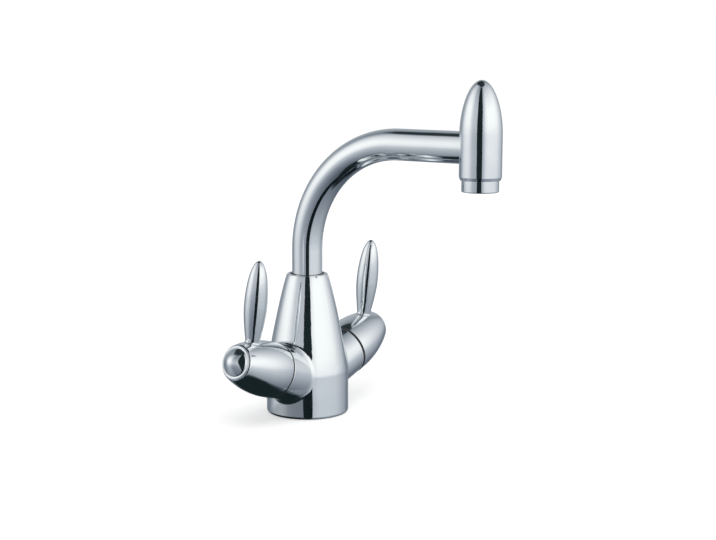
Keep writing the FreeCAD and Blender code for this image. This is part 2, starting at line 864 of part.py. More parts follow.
def aerator_collar():
    """Threaded ring that shows below the head and holds the aerator's insert."""
    collar = turned(
        (collar_mouth, collar_foot), (collar_radius, collar_foot),
        (collar_radius, collar_top), (outlet_thread_radius, collar_top),
        (outlet_thread_radius, collar_end), (insert_radius + seat_clearance, collar_end),
        (insert_radius + seat_clearance, insert_foot), (collar_mouth, insert_foot))
    collar = collar.makeFillet(collar_edge, circles(collar, collar_radius, collar_foot))
    return at_outlet(collar)


def cell_places():
    """Hexagonal field of cell centres, ring by ring around the middle one."""
    places = []
    for column in range(-cell_rings, cell_rings + 1):
        for row in range(-cell_rings, cell_rings + 1):
            if abs(column + row) <= cell_rings:
                x = cell_spacing * (column + row / 2)
                places.append((x, cell_spacing * row * math.sin(math.radians(60))))
    return places


def aerator_insert():
    """Plastic cup whose floor is an open honeycomb."""
    top = insert_foot + insert_height - screen_thickness
    cup = rod(insert_radius, insert_foot, top)
    cup = cup.cut(rod(insert_radius - insert_wall, insert_foot + cell_height, top))
    cells = []
    for x, y in cell_places():
        cell = hexagon(cell_spacing - cell_web, insert_foot, insert_foot + cell_height)
        cell.rotate(ORIGIN, UP, 30)
        cell.translate(V(x, y, 0))
        cells.append(cell)
    return at_outlet(cup.cut(cells))


def aerator_screen():
    """Thin slotted plate on top of the insert."""
    top = insert_foot + insert_height
    plate = rod(insert_radius, top - screen_thickness, top)
    slots = []
    half = (screen_slots - 1) / 2
    for number in range(screen_slots):
        x = (number - half) * screen_spacing
        length = 2 * math.sqrt((insert_radius - 2 * insert_wall) ** 2 - x ** 2)
        slot = block(screen_slot, length, top - screen_thickness, top)
        slot.translate(V(x, 0, 0))
        slots.append(slot)
    return at_outlet(plate.cut(slots))


def aerator_washer():
    return at_outlet(ring(outlet_washer_inner, outlet_thread_radius,
                          collar_end, outlet_seat))


# ------------------------------------------------------------------- writing
def write(name, shape):
    shape.exportStep("parts/" + name + ".step")
    print(name, "solids", len(shape.Solids), "valid", shape.isValid(),
          "volume", round(shape.Volume / 1000, 3), "cm3")


def main():
    os.makedirs("parts", exist_ok=True)
    write("body_casting", body_casting())
    write("base_seal", base_seal())
    for name, side in SIDES:
        write(name + "_cartridge_body", on_hub(cartridge_body(), side))
        write(name + "_flange_o_ring", on_hub(flange_o_ring(), side))
        write(name + "_seat_seal", on_hub(seat_seal(), side))
        write(name + "_fixed_disc", on_hub(fixed_disc(), side))
        write(name + "_glide_ring", on_hub(glide_ring(), side))
        write(name + "_moving_disc", on_hub(moving_disc(), side))
        write(name + "_spindle", on_hub(spindle(), side))
        write(name + "_spindle_o_rings", on_hub(spindle_o_rings(), side))
        write(name + "_spindle_clip", on_hub(spindle_clip(), side))
        write(name + "_handle", on_hub(handle(side), side))
        write(name + "_handle_screw", on_hub(handle_screw(), side))
        write(name + "_end_cap", on_hub(end_cap(), side))
    write("spout_bush", spout_bush())
    write("spout_slip_washer", slip_washer())
    write("spout_retaining_screw", retaining_screw())
    write("spout_tube", spout_tube())
    write("spout_nipple", spout_nipple())
    write("spout_o_rings", spout_o_rings())
    write("spout_head", spout_head())
    write("aerator_collar", aerator_collar())
    write("aerator_insert", aerator_insert())
    write("aerator_screen", aerator_screen())
    write("aerator_washer", aerator_washer())


main()
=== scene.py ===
# %% [markdown]
# # A chrome kitchen mixer tap
#
# This lesson dresses a tap whose metal was already drawn to size in a CAD program.
# The tap has a tapered column, a bent tube spout with a bullet-shaped head, and two
# cigar-shaped levers on tilted side hubs. Nearly all of it is mirror chrome.
#
# Chrome has hardly a colour of its own: what the eye sees is the room around it. So most
# of this lesson is about the room, and the rest about small marks that make plated
# brass look like metal that was cast, turned, polished and wiped dry.

# %% Load the tap
import json
import math

import bmesh
import bpy
import numpy as np
from mathutils import Matrix, Vector


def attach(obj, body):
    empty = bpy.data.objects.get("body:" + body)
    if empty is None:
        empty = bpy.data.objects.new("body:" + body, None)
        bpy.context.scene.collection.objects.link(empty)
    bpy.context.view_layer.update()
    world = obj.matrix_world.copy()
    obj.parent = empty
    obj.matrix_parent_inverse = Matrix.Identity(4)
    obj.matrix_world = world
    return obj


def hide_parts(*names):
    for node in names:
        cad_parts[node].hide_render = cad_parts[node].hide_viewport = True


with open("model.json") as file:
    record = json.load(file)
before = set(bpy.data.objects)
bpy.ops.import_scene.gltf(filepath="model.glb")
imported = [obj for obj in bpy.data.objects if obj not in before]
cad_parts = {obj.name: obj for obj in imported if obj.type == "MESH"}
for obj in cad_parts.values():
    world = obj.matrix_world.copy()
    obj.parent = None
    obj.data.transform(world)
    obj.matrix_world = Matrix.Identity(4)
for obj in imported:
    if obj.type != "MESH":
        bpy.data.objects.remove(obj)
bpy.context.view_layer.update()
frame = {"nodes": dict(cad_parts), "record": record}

# %% [markdown]
# ## Building node trees
#
# A material in Blender is a small graph. Writing every node by hand takes many lines, so
# two helpers are made first. `add_node` adds one node and sets its inputs, and `maths`
# adds one step of arithmetic. Both take plain numbers or the output of another node,
# which keeps the recipes below close to how one would say them aloud.

# %% Helpers for nodes


def put(tree, socket, value):
    """Give a socket a value: a link if the value is an output, a constant if not."""
    if isinstance(value, bpy.types.NodeSocket):
        tree.links.new(value, socket)
    else:
        socket.default_value = value


def add_node(tree, kind, inputs=None, **settings):
    """Add a node of one kind, with settings by name and inputs by name or number."""
    made = tree.nodes.new("ShaderNode" + kind)
    for name, value in settings.items():
        setattr(made, name, value)
    for key, value in (inputs or {}).items():
        put(tree, made.inputs[key], value)
    return made


def maths(tree, operation, *values):
    """One arithmetic step on numbers or outputs; the result is an output."""
    return add_node(tree, "Math", dict(enumerate(values)), operation=operation).outputs[0]


def smooth_step(tree, value, low, high):
    """0 below low, 1 above high, and an S-shaped rise between; falls if low is the larger."""
    made = add_node(tree, "MapRange", {"Value": value, "From Min": low, "From Max": high},
                    interpolation_type="SMOOTHSTEP")
    return made.outputs["Result"]


def ramp(tree, value, stops, interpolation="LINEAR"):
    """A colour ramp; stops are (place from 0 to 1, colour)."""
    made = add_node(tree, "ValToRGB", {0: value})
    made.color_ramp.interpolation = interpolation
    elements = made.color_ramp.elements
    while len(elements) < len(stops):
        elements.new(0.5)
    for element, (place, colour) in zip(elements, sorted(stops)):
        element.position = place
        element.color = (*colour, 1)
    return made.outputs["Color"]


def mix_colour(tree, share, first, second, blend="MIX"):
    """Blend two colours by a share from 0 to 1."""
    made = add_node(tree, "Mix", {0: share}, data_type="RGBA", blend_type=blend)
    put(tree, made.inputs[6], first)
    put(tree, made.inputs[7], second)
    return made.outputs[2]


def mix_shader(tree, share, first, second):
    """Blend two shaders by a share from 0 to 1."""
    return add_node(tree, "MixShader", {0: share, 1: first, 2: second}).outputs[0]


print("helpers ready")

# %% [markdown]
# ## The camera
#
# The photograph was taken from the front left, a little above the spout, with a lens of
# about 72 mm. The camera's axes are worked out one by one: look along the heading, turn
# down by the pitch, then roll by a fraction of a degree. The three unit vectors become the
# columns of the camera's matrix.

# %% Camera
CAMERA_AZIMUTH = math.radians(-53.07)   # 0 looks along +Y
CAMERA_DISTANCE = 1.0345                # metres from the column's axis
CAMERA_HEIGHT = 0.2648
CAMERA_YAW = math.radians(-2.05)
CAMERA_PITCH = math.radians(8.79)
CAMERA_ROLL = math.radians(0.17)
FOCAL_PIXELS = 1434.0
IMAGE_WIDTH = 716
SENSOR = 36.0
NEAREST_SEEN = 0.05
FARTHEST_SEEN = 50.0

heading = Vector((-math.sin(CAMERA_AZIMUTH), math.cos(CAMERA_AZIMUTH), 0))
heading.rotate(Matrix.Rotation(CAMERA_YAW, 3, "Z"))
level_right = heading.cross(Vector((0, 0, 1)))
forward = heading * math.cos(CAMERA_PITCH) - Vector((0, 0, 1)) * math.sin(CAMERA_PITCH)
level_up = level_right.cross(forward)
right = level_right * math.cos(CAMERA_ROLL) + level_up * math.sin(CAMERA_ROLL)
upward = level_up * math.cos(CAMERA_ROLL) - level_right * math.sin(CAMERA_ROLL)

camera_data = bpy.data.cameras.new("photo_camera")
camera_data.sensor_width = SENSOR
camera_data.lens = FOCAL_PIXELS / IMAGE_WIDTH * SENSOR
camera_data.clip_start = NEAREST_SEEN
camera_data.clip_end = FARTHEST_SEEN
camera = bpy.data.objects.new("photo_camera", camera_data)
bpy.context.scene.collection.objects.link(camera)
bpy.context.scene.camera = camera
turn = Matrix((right, upward, -forward)).transposed().to_4x4()
place = Vector((math.sin(CAMERA_AZIMUTH), -math.cos(CAMERA_AZIMUTH), 0)) * CAMERA_DISTANCE
camera.matrix_world = Matrix.Translation(place + Vector((0, 0, CAMERA_HEIGHT))) @ turn
bpy.context.scene.view_settings.view_transform = "Standard"
print("lens:", round(camera_data.lens, 1), "mm, camera at", camera.matrix_world.translation[:])

# %% [markdown]
# ## The studio that the chrome reflects
#
# Product photographers light chrome with large white panels and leave dark gaps between
# them, because a mirror in an all-white room looks like white paper. Here the panels
# are painted on the world, and only mirror-like rays see them: wide panels on the left and
# on the right, grey walls between them, and light that fades towards a dark opening in
# the ceiling behind the tap.
#
# The brightness is a product of simple curves. The first follows the angle round the
# room, counted from the camera; the second follows the climb, which is the sine of the
# angle above the horizon. Dark greys in such a room are bluish and light ones are not, so
# the last step turns a level into a colour.
#
# Rays from matt surfaces see one even pale light instead, so rubber and plastic show
# their own colours. Rays straight from the camera see plain white.

# %% World
BRIGHTEST = 1.2
WALLS = (                       # degrees round from the camera, level at the horizon
    (-180, 0.46), (-165, 0.46), (-152, 0.37), (-138, 0.35), (-126, 0.50), (-115, 0.76),
    (-104, 0.98), (-86, 1.08), (-75, 1.04), (-65, 0.88), (-55, 0.66), (-42, 0.58),
    (-20, 0.53), (8, 0.60), (16, 0.92), (30, 1.10), (62, 1.10), (86, 1.05),
    (96, 0.96), (106, 0.84), (124, 0.65), (136, 0.50), (145, 0.31), (156, 0.43), (180, 0.46))
CLIMB = (                       # sine of the angle above the horizon, share of the level
    (0.0, 0.87), (0.07, 0.94), (0.14, 0.98), (0.25, 1.0), (0.34, 1.0), (0.47, 0.92), (0.59, 0.82),
    (0.70, 0.70), (0.79, 0.60), (0.87, 0.52), (1.0, 0.44))
OVERHEAD_FROM = math.sin(math.radians(65))
OVERHEAD_FULL = math.sin(math.radians(72))
OPENING_AZIMUTH = math.radians(-155)
OPENING_CLIMB = math.radians(74)
OPENING_RADIUS = math.radians(23)
OPENING_SOFT = math.radians(4)
DARK = 0.03
DARK_STOPS = [0.0, 0.02, 0.05]
TINT_FADE = 0.3                 # the tint of the darkest greys fades out over this much level
TINT_RED_LESS = 0.25            # shares by which the darkest greys have less red, more green
TINT_GREEN_MORE = 0.05
TINT_BLUE_MORE = 0.19           # share by which greys have more blue, none of it at white
EVEN_LIGHT = 0.72
WHITE = (1.0, 1.0, 1.0, 1.0)


def round_the_room(tree, direction):
    """Place of a direction round the room, 0 to 1 with the camera at one half, and its climb."""
    parts = add_node(tree, "SeparateXYZ", {0: direction}).outputs
    backwards = maths(tree, "MULTIPLY", parts[1], -1.0)
    angle = maths(tree, "ARCTAN2", parts[0], backwards)
    from_camera = maths(tree, "SUBTRACT", angle, CAMERA_AZIMUTH)
    turns = maths(tree, "MULTIPLY_ADD", from_camera, 0.5 / math.pi, 0.5)
    return maths(tree, "WRAP", turns, 1.0, 0.0), parts[2]


def grey_curve(tree, value, places):
    """A curve through (place, level) points, as levels from 0 up to BRIGHTEST."""
    stops = [(place, (level / BRIGHTEST,) * 3) for place, level in places]
    return maths(tree, "MULTIPLY", ramp(tree, value, stops), BRIGHTEST)


def wall_level(tree, place_round):
    """Level of the wall at the horizon for a place round the room."""
    return grey_curve(tree, place_round, [((angle + 180) / 360, level) for angle, level in WALLS])


def tinted(level):
    """A grey level as a colour: blue-green when dark, bluish in the middle, white at 1."""
    dusk = math.exp(-level / TINT_FADE)
    haze = max(0.0, 1 - level)
    return (level * (1 - TINT_RED_LESS * dusk), level * (1 + TINT_GREEN_MORE * dusk),
            level * (1 + TINT_BLUE_MORE * haze))


def level_colour(tree, level):
    """Look up the tint of a level; the ramp has a stop at every tenth and two in the dark."""
    greys = DARK_STOPS + [0.1 * tenth for tenth in range(1, round(BRIGHTEST * 10) + 1)]
    stops = [(grey / BRIGHTEST, tuple(part / BRIGHTEST for part in tinted(grey)))
             for grey in greys]
    found = ramp(tree, maths(tree, "DIVIDE", level, BRIGHTEST), stops)
    brightened = {0: found, "Scale": BRIGHTEST}
    return add_node(tree, "VectorMath", brightened, operation="SCALE").outputs[0]


def compass(azimuth, climb):
    """Unit vector at an angle round from the camera and an angle above the horizon."""
    heading_angle = CAMERA_AZIMUTH + azimuth
    return Vector((math.sin(heading_angle) * math.cos(climb),
                   -math.cos(heading_angle) * math.cos(climb), math.sin(climb)))


world = bpy.data.worlds.new("studio")
bpy.context.scene.world = world
world.use_nodes = True
sky = world.node_tree
sky.nodes.clear()
direction = add_node(sky, "TexCoord").outputs["Generated"]
place_round, climb = round_the_room(sky, direction)
level = maths(sky, "MULTIPLY", wall_level(sky, place_round), grey_curve(sky, climb, CLIMB))
opening = compass(OPENING_AZIMUTH, OPENING_CLIMB)
towards = {0: direction, 1: opening}
nearness = add_node(sky, "VectorMath", towards, operation="DOT_PRODUCT").outputs[1]
dark_share = smooth_step(sky, nearness, math.cos(OPENING_RADIUS + OPENING_SOFT),
                         math.cos(OPENING_RADIUS - OPENING_SOFT))
overhead_share = smooth_step(sky, climb, OVERHEAD_FROM, OVERHEAD_FULL)
dark_share = maths(sky, "MAXIMUM", dark_share, overhead_share)
lit_share = maths(sky, "SUBTRACT", 1.0, dark_share)
level = maths(sky, "MULTIPLY_ADD", level, lit_share, maths(sky, "MULTIPLY", dark_share, DARK))
rays = add_node(sky, "LightPath").outputs
seen_matt = add_node(sky, "Background", {0: WHITE, 1: EVEN_LIGHT}).outputs[0]
seen_plain = add_node(sky, "Background", {0: WHITE, 1: 1.0}).outputs[0]
seen_mirrored = add_node(sky, "Background", {0: level_colour(sky, level), 1: 1.0}).outputs[0]
sight = mix_shader(sky, rays["Is Camera Ray"], seen_matt, seen_plain)
sight = mix_shader(sky, rays["Is Transmission Ray"], sight, seen_plain)
sight = mix_shader(sky, rays["Is Glossy Ray"], sight, seen_mirrored)
add_node(sky, "OutputWorld", {"Surface": sight})
print("world stops:", len(WALLS), "opening towards", opening[:])

# %% [markdown]
# ## Meshes from numpy
#
# Every new surface in this lesson is a grid: a function of two parameters worked out for
# all its points at once. `grid_faces` numbers the corners of the faces between those
# points, joining the last column to the first where the shape closes on itself, and
# `mesh_object` makes an object from points and faces.

# %% Grid surfaces


def grid_faces(rows, columns, closed_rows=False, closed_columns=False):
    """Corner numbers of the quads between neighbouring grid points."""
    last_row = rows if closed_rows else rows - 1
    last_column = columns if closed_columns else columns - 1
    row, column = np.meshgrid(np.arange(last_row), np.arange(last_column), indexing="ij")
    next_row, next_column = (row + 1) % rows, (column + 1) % columns
    corners = (row * columns + column, row * columns + next_column,
               next_row * columns + next_column, next_row * columns + column)
    return np.stack(corners, axis=-1).reshape(-1, 4)


def mesh_object(name, points, faces, material):
    """A smooth-shaded mesh object from arrays of points and faces."""
    mesh = bpy.data.meshes.new(name)
    mesh.from_pydata(points.reshape(-1, 3).tolist(), [], np.asarray(faces, object).tolist())
    mesh.polygons.foreach_set("use_smooth", np.ones(len(mesh.polygons), bool))
    mesh.materials.append(material)
    made = bpy.data.objects.new(name, mesh)
    bpy.context.scene.collection.objects.link(made)
    return made


def hide_from(thing, *kinds):
    """Make an object unseen by the named kinds of ray."""
    for kind in kinds:
        setattr(thing, "visible_" + kind, False)


print("a 3 by 4 grid has", len(grid_faces(3, 4)), "quads")

# %% [markdown]
# ## The table
#
# The floor is plain and pale. To the camera it adds a little glow to its matt white,
# more of it further off, so that only the tap's soft shadow is darker than the background.
#
# The chrome sees it as a polished table top, which mirrors the room weakly when looked
# down on and fully at a grazing angle. That's how real table tops behave, and it explains
# most of what the underside of a tap shows: the steep rays below the hubs meet the mirrored
# dark ceiling and turn black, while the shallow ones from the foot meet the walls. Layer
# Weight gives how edge-on the table is seen, and a curve turns that into the mirror's share.
# Close under the hot hub a shade is painted on the table by place, not cast by a lamp:
# there the mirror fades out and only a faint painted blue-green glow is left, as in the
# darkest parts of the room.
#
# A worktop is open below a tap's foot, and so is this one: the opening is a little
# smaller than the foot, so it never shows from above, and light gets in to the underside.

# %% Floor
FLOOR_REACH = 8.0
FLOOR_DROP = 0.0002
FLOOR_WHITE = 0.72
GLOW_NEAR = 0.43
GLOW_FAR = 0.52
GLOW_FROM = 0.25
GLOW_TO = 1.2
TABLE_SHINE = (                 # how edge-on the table is seen, share of the room it mirrors
    (0.0, 0.36), (0.30, 0.42), (0.58, 0.48), (0.755, 0.58), (0.871, 0.71), (0.907, 0.78),
    (0.948, 0.90), (1.0, 1.0))
TABLE_BLUR = 0.04
# The SHADE constants draw a painted shade: a dark spot placed on the table's mirror under the hot
# hub, with a faint painted glow in it.
SHADE_PLACE = (0.055, -0.034)   # towards the camera, and to its right if positive
SHADE_REACH = (0.046, 0.034)
SHADE_SHALLOW = 0.71            # how nearly edge-on the table is seen
SHADE_STEEP = 0.49
SHADE_ALWAYS = 0.36             # share of the shade that shallow rays see too
PAINTED_SHADE_GLOW = (0.010, 0.018, 0.020, 1)
SHADE_FADE = (1.8, 0.3)         # sum of the fourth powers where the shade starts and is full
BLACK = (0.0, 0.0, 0.0, 1.0)
HOLE_RADIUS = 0.027
FLOOR_RINGS = (HOLE_RADIUS, 0.1, 0.6, FLOOR_REACH)
FLOOR_SIDES = 96

floor_material = bpy.data.materials.new("pale_floor")
floor_material.use_nodes = True
tree = floor_material.node_tree
tree.nodes.clear()
edge_on = add_node(tree, "LayerWeight", {"Blend": 0.5}).outputs["Facing"]
shine = ramp(tree, edge_on, [(place, tinted(share)) for place, share in TABLE_SHINE])
ground = add_node(tree, "TexCoord").outputs["Object"]
# Painted shade: a soft spot set by position under the hot hub, where the table's mirror is darkened
# towards black.
painted_shade_distance = 0.0
for azimuth, centre, half in zip((0.0, math.pi / 2), SHADE_PLACE, SHADE_REACH):
    wanted = {0: ground, 1: compass(azimuth, 0)}
    offset = add_node(tree, "VectorMath", wanted, operation="DOT_PRODUCT").outputs[1]
    share = maths(tree, "DIVIDE", maths(tree, "SUBTRACT", offset, centre), half)
    fourth = maths(tree, "POWER", maths(tree, "ABSOLUTE", share), 4.0)
    painted_shade_distance = maths(tree, "ADD", fourth, painted_shade_distance)
in_painted_shade = smooth_step(tree, painted_shade_distance, *SHADE_FADE)
seen_steeply = smooth_step(tree, edge_on, SHADE_SHALLOW, SHADE_STEEP)
shade = maths(tree, "MULTIPLY_ADD", seen_steeply, 1 - SHADE_ALWAYS, SHADE_ALWAYS)
shade = maths(tree, "MULTIPLY", shade, in_painted_shade)
shine = mix_colour(tree, shade, shine, BLACK)
polish = {"Color": shine, "Roughness": TABLE_BLUR}
mirrored = add_node(tree, "BsdfAnisotropic", polish).outputs[0]
# A faint blue-green glow painted into the shade, so it never goes fully black.
dusk = add_node(tree, "Emission", {0: PAINTED_SHADE_GLOW, 1: shade}).outputs[0]
mirrored = add_node(tree, "AddShader", {0: mirrored, 1: dusk}).outputs[0]
matt = add_node(tree, "BsdfDiffuse", {0: (FLOOR_WHITE,) * 3 + (1,)}).outputs[0]
distance = add_node(tree, "VectorMath", {0: ground}, operation="LENGTH").outputs[1]
glow_share = smooth_step(tree, distance, GLOW_FROM, GLOW_TO)
glow_strength = maths(tree, "MULTIPLY_ADD", glow_share, GLOW_FAR - GLOW_NEAR, GLOW_NEAR)
glow = add_node(tree, "Emission", {0: WHITE, 1: glow_strength}).outputs[0]
glowing = add_node(tree, "AddShader", {0: matt, 1: glow}).outputs[0]
rays = add_node(tree, "LightPath").outputs
surface = mix_shader(tree, rays["Is Camera Ray"], matt, glowing)
surface = mix_shader(tree, rays["Is Glossy Ray"], surface, mirrored)
below = add_node(tree, "NewGeometry").outputs["Backfacing"]
clear = add_node(tree, "BsdfTransparent").outputs[0]
surface = mix_shader(tree, below, surface, clear)
add_node(tree, "OutputMaterial", {"Surface": surface})

round_the_foot = np.linspace(0, 2 * np.pi, FLOOR_SIDES, endpoint=False)
reach, angle = np.meshgrid(FLOOR_RINGS, round_the_foot, indexing="ij")
floor_points = np.stack((reach * np.cos(angle), reach * np.sin(angle),
                         np.full_like(reach, -FLOOR_DROP)), axis=-1)
floor_faces = grid_faces(len(FLOOR_RINGS), FLOOR_SIDES, closed_columns=True)[:, ::-1]
floor = mesh_object("floor", floor_points, floor_faces, floor_material)
print("floor normal:", floor.data.polygons[0].normal[:])

# %% [markdown]
# ## The black card
#
# The long black line down the column, the levers and the head is the image of a tall dark
# card in front of the camera. It could be a strip painted on the world, but that is endlessly
# far away, and a real card stands close enough for its line to shift from piece to piece.
# Only mirror-like rays see it, so it hides nothing from the camera, and its image in the
# table carries the line on down the foot.

# %% The black card
CARD_AZIMUTH = math.radians(-52.3)
CARD_DISTANCE = 0.51
CARD_WIDTH = 0.232
CARD_FOOT = 0.0
CARD_TOP = 1.25
CARD_BLACK = (0.011, 0.019, 0.021, 1.0)

card_material = bpy.data.materials.new("black_card")
card_material.use_nodes = True
tree = card_material.node_tree
tree.nodes.clear()
blackness = add_node(tree, "Emission", {0: CARD_BLACK, 1: 1.0}).outputs[0]
add_node(tree, "OutputMaterial", {"Surface": blackness})

away = np.array([math.sin(CARD_AZIMUTH), -math.cos(CARD_AZIMUTH), 0.0])
sideways = np.array([math.cos(CARD_AZIMUTH), math.sin(CARD_AZIMUTH), 0.0])
offset, height = np.meshgrid([-CARD_WIDTH / 2, CARD_WIDTH / 2], [CARD_FOOT, CARD_TOP])
card_points = (away * CARD_DISTANCE + offset[..., None] * sideways
               + height[..., None] * np.array([0, 0, 1.0]))
card = mesh_object("black_card", card_points, grid_faces(2, 2), card_material)
hide_from(card, "camera", "diffuse", "shadow", "transmission", "volume_scatter")
print("card stands at", (away * CARD_DISTANCE).round(3))

# %% [markdown]
# ## Lamps
#
# Chrome needs no lamps, but the table and the rubber do. Two large square ones, a stronger
# on the left and a weaker on the right, cast the soft shadow. A small lamp or the sun
# would draw a hard one. The chrome doesn't see them, because their squares would show in it.

# %% Lamps
LAMPS = (                       # name, place, size, watts
    ("key_lamp", (-0.9, -0.6, 1.3), 0.9, 9.0),
    ("fill_lamp", (0.9, -0.9, 1.0), 1.0, 4.0))
LAMPS_FACE = Vector((0, -0.05, 0.1))

for name, spot, size, watts in LAMPS:
    lamp_data = bpy.data.lights.new(name, "AREA")
    lamp_data.size = size
    lamp_data.energy = watts
    lamp = bpy.data.objects.new(name, lamp_data)
    bpy.context.scene.collection.objects.link(lamp)
    lamp.location = spot
    lamp.rotation_euler = (LAMPS_FACE - Vector(spot)).to_track_quat("-Z", "Y").to_euler()
    hide_from(lamp, "camera", "glossy")
    print(name, watts, "W")

# %% [markdown]
# ## Finishes
#
# Each finish starts from the same shader and changes it with noise of the right size.
# Polished plate isn't a perfect mirror: buffing leaves very shallow waves a
# centimetre or two long, and wiping leaves faint hazy patches. The waves go in as bump so
# slight that only the edges of reflections move, and the haze goes in as roughness.

# %% Finish helpers
NOISE_LOW, NOISE_HIGH = 0.3, 0.7


def new_finish(name, metallic, colour, roughness, **sockets):
    """A material with one main shader; returns it with its tree, shader and coordinates."""
    material = bpy.data.materials.new(name)
    material.use_nodes = True
    tree = material.node_tree
    shader = tree.nodes["Principled BSDF"]
    shader.inputs["Base Color"].default_value = (*colour, 1)
    shader.inputs["Metallic"].default_value = metallic
    shader.inputs["Roughness"].default_value = roughness
    for socket, value in sockets.items():
        shader.inputs[socket.replace("_", " ")].default_value = value
    return material, tree, shader, add_node(tree, "TexCoord").outputs["Object"]


def noise(tree, where, per_metre, detail, roughness):
    """Soft random values around one half, with a number of lumps to the metre."""
    wanted = {"Vector": where, "Scale": per_metre, "Detail": detail, "Roughness": roughness}
    return add_node(tree, "TexNoise", wanted).outputs[0]


def spread(tree, value, low, high):
    """Stretch noise so that it runs from low to high; most of it lies close to one half."""
    wanted = {"Value": value, "From Min": NOISE_LOW, "From Max": NOISE_HIGH,
              "To Min": low, "To Max": high}
    return add_node(tree, "MapRange", wanted).outputs["Result"]


def bumped(tree, shader, height, depth):
    """Let a height pattern tilt the surface; depth is in metres."""
    bump = add_node(tree, "Bump", {"Strength": 1.0, "Distance": depth, "Height": height})
    put(tree, shader.inputs["Normal"], bump.outputs[0])


print("finish helpers ready")

# %% [markdown]
# ## Chrome plate, and bare casting below
#
# The plate is nearly a perfect mirror with the faintest tint of blue. Plating covers
# only what a polishing wheel can reach, so the hollow under the foot stays as it left the
# mould: dull, grainy brass. Painting a second object there would need a seam. Instead the
# same material changes by place: within the hollow's radius and below its ceiling the
# colour, the roughness and the grain all switch.

# %% Chrome plate
CHROME = (0.865, 0.893, 0.905)
CHROME_ROUGH = 0.05
HAZE = (55.0, 4.0, 0.6)         # noise: lumps to the metre, detail, roughness
HAZE_ROUGH = (0.035, 0.065)
SPECKS = (900.0, 2.0, 0.6)
SPECKS_ROUGH = (0.0, 0.012)
WAVES = (45.0, 1.0, 0.4)
WAVE_DEPTH = 0.00025
RAW_BRASS = (0.50, 0.39, 0.22, 1.0)
RAW_DARK = (0.30, 0.23, 0.14, 1.0)
RAW_PATCHES = (240.0, 4.0, 0.65)
RAW_GRAIN = (2400.0, 3.0, 0.6)
RAW_ROUGH = (0.42, 0.62)
RAW_GRAIN_HEIGHT = 0.35         # as a share of the wave depth
HOLLOW_RADIUS = 0.0265
HOLLOW_CEILING = 0.020
PLATING_EDGE = 0.0006           # the plating thins out over this width at the hollow's wall
CEILING_EDGE = 0.001


def in_the_hollow(tree, where, radius):
    """1 within a radius of the upright axis and below the hollow's ceiling, otherwise 0."""
    flat = add_node(tree, "Mapping", {"Vector": where, "Scale": (1, 1, 0)}).outputs[0]
    from_axis = add_node(tree, "VectorMath", {0: flat}, operation="LENGTH").outputs[1]
    above = add_node(tree, "SeparateXYZ", {0: where}).outputs[2]
    return maths(tree, "MULTIPLY",
                 smooth_step(tree, from_axis, radius, radius - PLATING_EDGE),
                 smooth_step(tree, above, HOLLOW_CEILING + CEILING_EDGE, HOLLOW_CEILING))


def plate(name, hollow_radius=None):
    """Mirror chrome; with a radius, bare cast metal inside an upright hollow of that size."""
    material, tree, shader, where = new_finish(name, 1.0, CHROME, CHROME_ROUGH)
    haze = noise(tree, where, *HAZE)
    specks = noise(tree, where, *SPECKS)
    rough = maths(tree, "ADD", spread(tree, haze, *HAZE_ROUGH), spread(tree, specks, *SPECKS_ROUGH))
    height = noise(tree, where, *WAVES)
    if hollow_radius:
        raw = in_the_hollow(tree, where, hollow_radius)
        patches = spread(tree, noise(tree, where, *RAW_PATCHES), 0.0, 1.0)
        grain = noise(tree, where, *RAW_GRAIN)
        cast_colour = mix_colour(tree, patches, RAW_BRASS, RAW_DARK)
        put(tree, shader.inputs["Base Color"], mix_colour(tree, raw, (*CHROME, 1), cast_colour))
        cast_rough = spread(tree, grain, *RAW_ROUGH)
        rough = add_node(tree, "Mix", {0: raw, 2: rough, 3: cast_rough}).outputs[0]
        cast_grain = maths(tree, "MULTIPLY", maths(tree, "MULTIPLY", grain, raw), RAW_GRAIN_HEIGHT)
        height = maths(tree, "ADD", height, cast_grain)
    put(tree, shader.inputs["Roughness"], rough)
    bumped(tree, shader, height, WAVE_DEPTH)
    return material


chrome = plate("chrome_plate")
plated_casting = plate("plated_casting", HOLLOW_RADIUS)
print("chrome reflects", CHROME)

# %% [markdown]
# ## Turned brass
#
# The cartridge housings, their spindles and the nipple in the spout are turned on a
# lathe, whose tool leaves fine rings round the axis. Rings come from noise in one dimension:
# every point gets a single number, its place along the axis plus its distance from it,
# and noise of that number is the same all the way round. Each side's hub is tilted its
# own way, so the axis is read from the joint that turns the handle.

# %% Turned metal
BRASS = (0.72, 0.56, 0.27)
BRASS_DULL = (0.60, 0.45, 0.22)
STEEL = (0.63, 0.635, 0.64)
STEEL_DULL = (0.54, 0.55, 0.56)
TURNED_ROUGH = (0.16, 0.34)
TARNISH = (160.0, 4.0, 0.6)     # noise: lumps to the metre, detail, roughness
TARNISH_MOST = 0.8
RINGS = {"Scale": 2600.0, "Detail": 3.0, "Roughness": 0.6}
RING_DEPTH = 0.00004
UPRIGHT = (0.0, 0.0, 1.0)
SPOUT_SCREW = ((0.0, 1.0, 0.0), (0.0, 0.0, 0.08))   # axis and a point of the retaining screw

joints = {joint["name"]: joint for joint in frame["record"]["behaviour"]["joints"]}
hub_centre = Vector(joints["hot_turn"]["pos_m"])
hub_axes = {"hot": -Vector(joints["hot_turn"]["axis"]), "cold": Vector(joints["cold_turn"]["axis"])}


